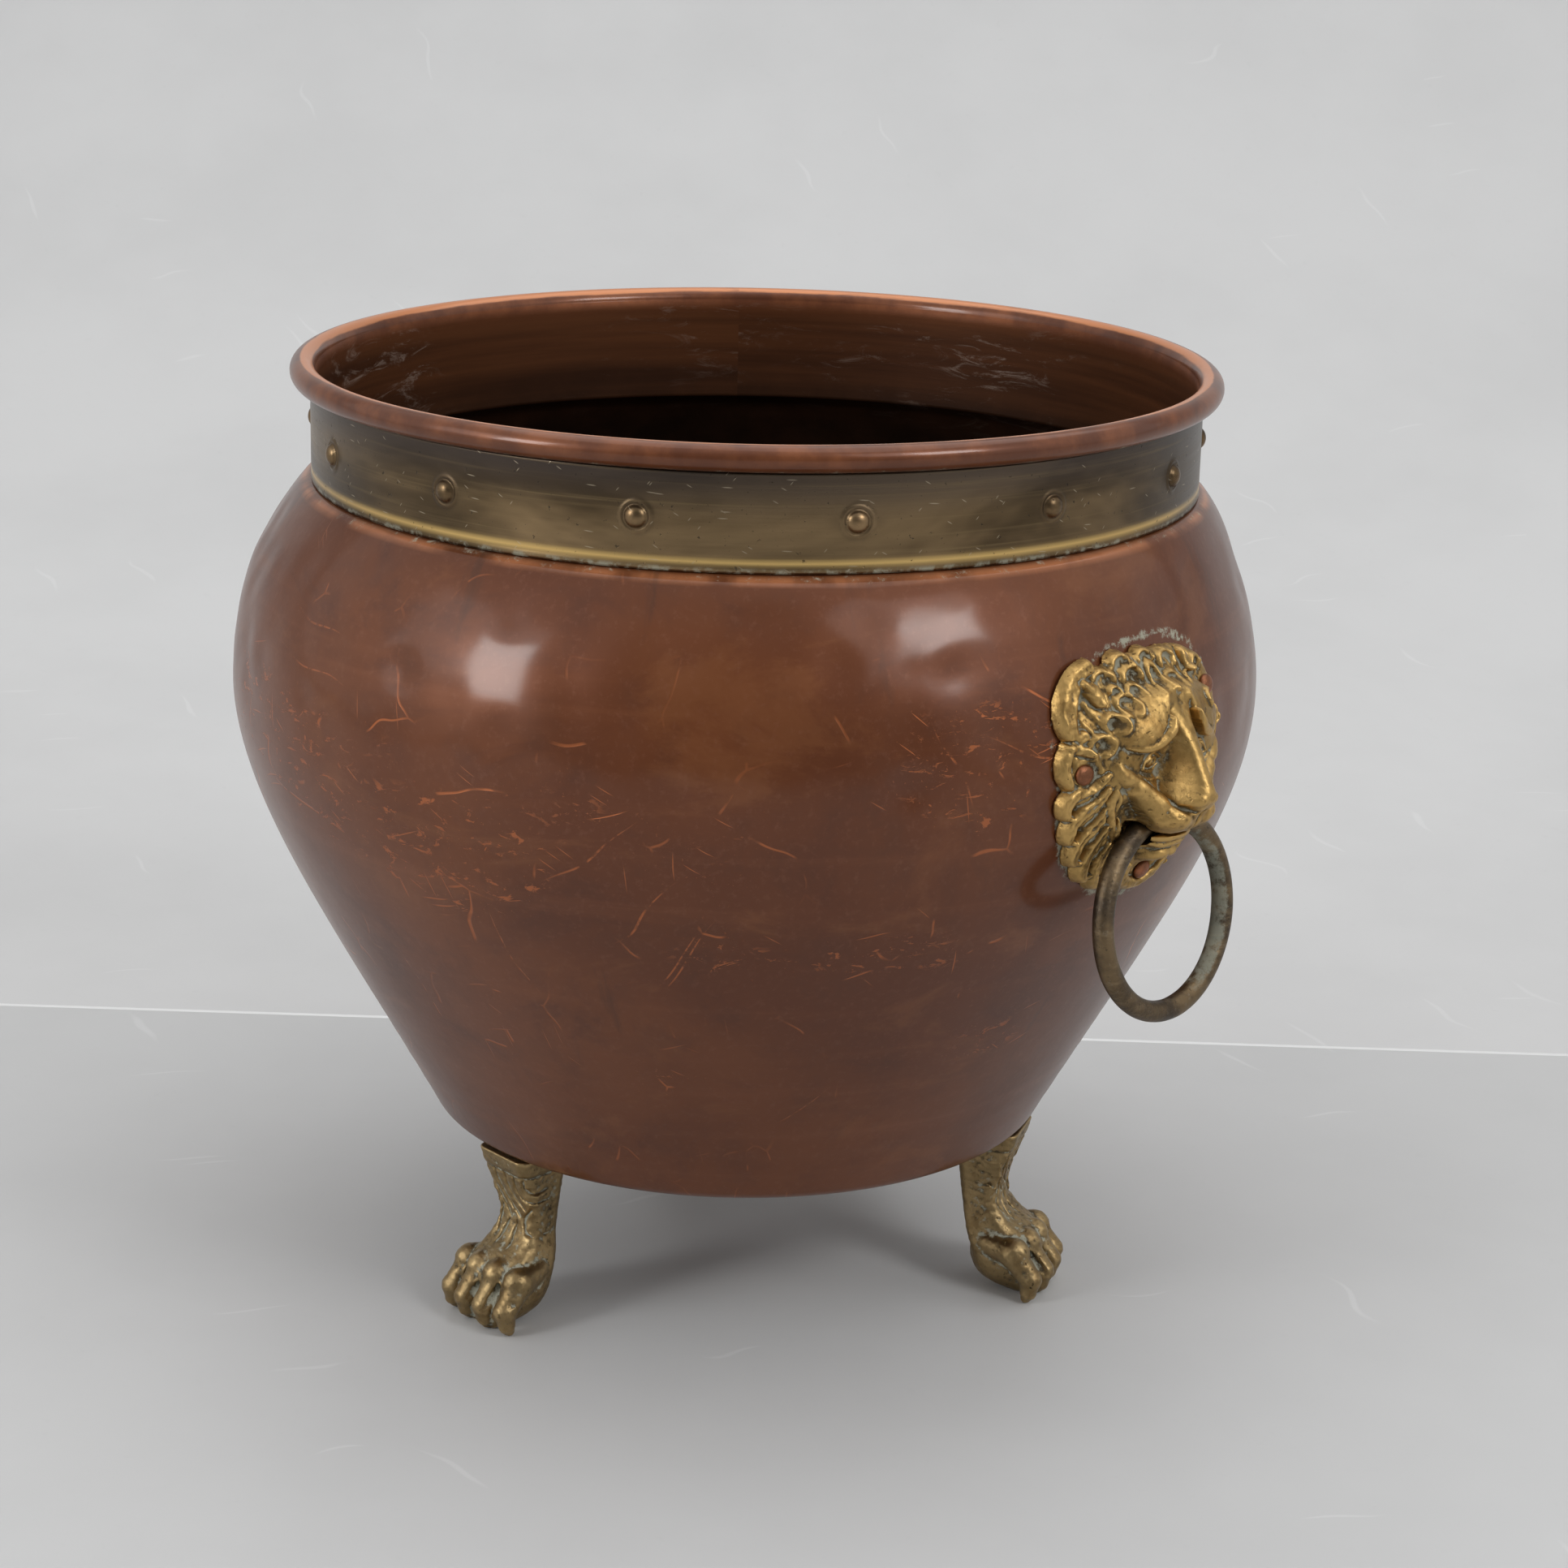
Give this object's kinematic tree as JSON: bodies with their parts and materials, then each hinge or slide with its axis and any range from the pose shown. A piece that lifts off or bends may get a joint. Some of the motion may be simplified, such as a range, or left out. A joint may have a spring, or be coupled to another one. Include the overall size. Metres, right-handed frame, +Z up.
{
  "type": "planter pot",
  "caption": "Round copper planter pot with a rolled rim, a bossed brass neck band, lion masks holding drop rings, and cast paw feet.",
  "frame": {"origin": "on the floor, on the pot's vertical axis", "axes": "+Z up; +X through the lion mask called right and its opposite number, +Y along the masks' tangent, to the lion's left as it looks along +X"},
  "size_m": [0.3862, 0.34, 0.312],
  "materials": {
    "patinated_copper": "glossy dark brown patina on copper, scratched",
    "worn_copper": "rubbed copper",
    "tarnished_brass": "brushed, dark tarnish",
    "cast_brass": "cast, polished high points, dark recesses",
    "dull_ring_brass": "dull, scratched",
    "screw_brass": "satin",
    "iron_wire": "rough"
  },
  "bodies": {
    "pot": {"pot_shell": "patinated_copper", "rim_wire": "iron_wire", "neck_band": "tarnished_brass", "lion_mask_right": "cast_brass", "lion_mask_left": "cast_brass", "mask_rivet_right_side": "worn_copper", "mask_rivet_right_brow": "worn_copper", "mask_rivet_right_chin": "worn_copper", "mask_rivet_left_side": "worn_copper", "mask_rivet_left_brow": "worn_copper", "mask_rivet_left_chin": "worn_copper", "paw_foot_right": "cast_brass", "paw_foot_rear": "cast_brass", "paw_foot_front": "cast_brass", "foot_screw_right_1": "screw_brass", "foot_screw_right_2": "screw_brass", "foot_screw_rear_1": "screw_brass", "foot_screw_rear_2": "screw_brass", "foot_screw_front_1": "screw_brass", "foot_screw_front_2": "screw_brass"},
    "right_ring": {"ring_right": "dull_ring_brass"},
    "left_ring": {"ring_left": "dull_ring_brass"}
  },
  "joints": [
    {"name": "right_ring_swing", "type": "hinge", "parent": "pot", "child": "right_ring", "pos_m": [0.1742, 0, 0.191], "axis": [0, -1, 0], "range_deg": [0, 95]},
    {"name": "left_ring_swing", "type": "hinge", "parent": "pot", "child": "left_ring", "pos_m": [-0.1742, 0, 0.191], "axis": [0, 1, 0], "range_deg": [0, 95]}
  ]
}
